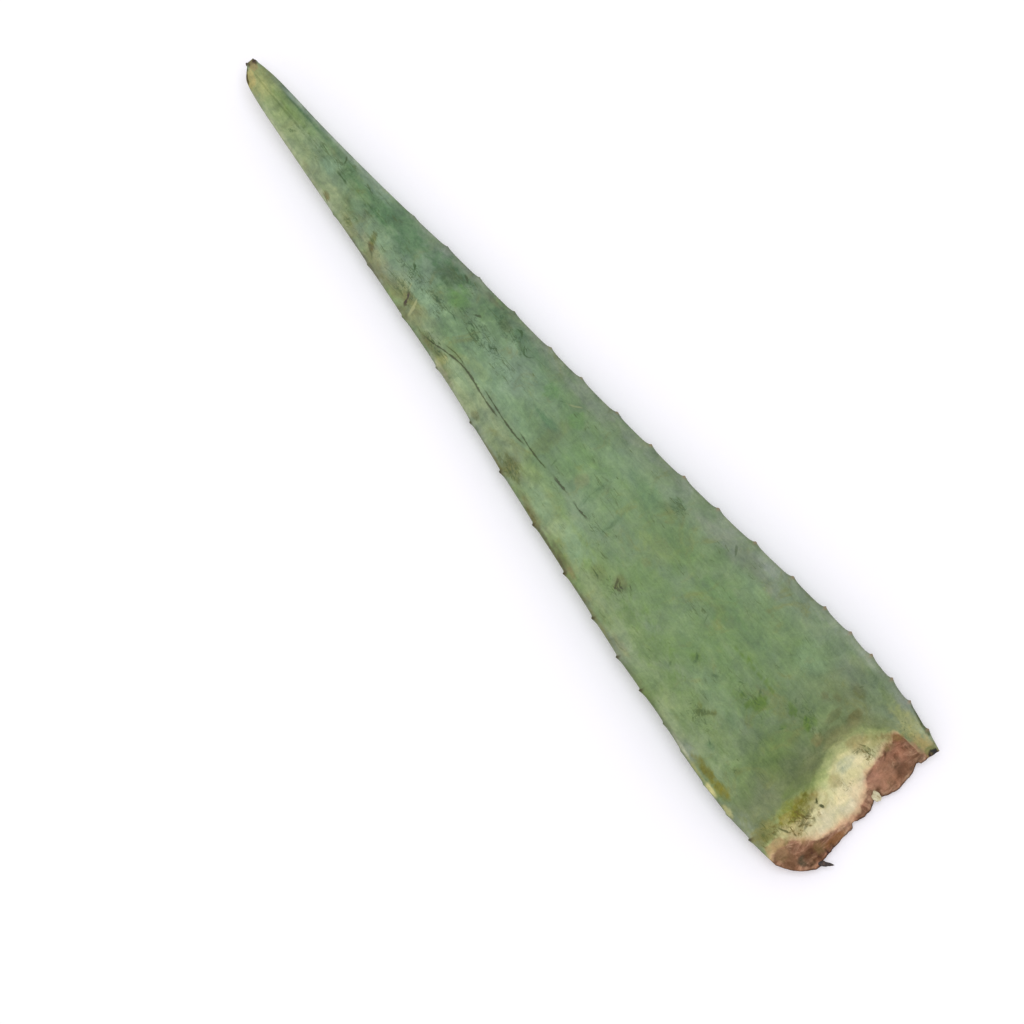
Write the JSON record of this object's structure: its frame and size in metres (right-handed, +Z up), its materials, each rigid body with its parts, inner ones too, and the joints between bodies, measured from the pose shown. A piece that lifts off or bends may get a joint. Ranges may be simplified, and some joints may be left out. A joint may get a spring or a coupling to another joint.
{
  "type": "aloe vera leaf",
  "caption": "Long tapering succulent leaf with toothed margins, cut at its pale sheath, lying on its rounded back with the upper face up.",
  "frame": {"origin": "under the middle of the leaf's bounding box, on the surface that the leaf rests on", "axes": "+X along the leaf from the torn base to the tip, +Y to its left margin seen from above, +Z up through its upper face"},
  "size_m": [0.5073, 0.1118, 0.0248],
  "materials": {
    "leaf_skin": "grey-green waxy leaf skin with a dull bloom; pale cream sheath and brown dried, torn end"
  },
  "bodies": {
    "root": {"leaf": "leaf_skin"}
  },
  "joints": []
}
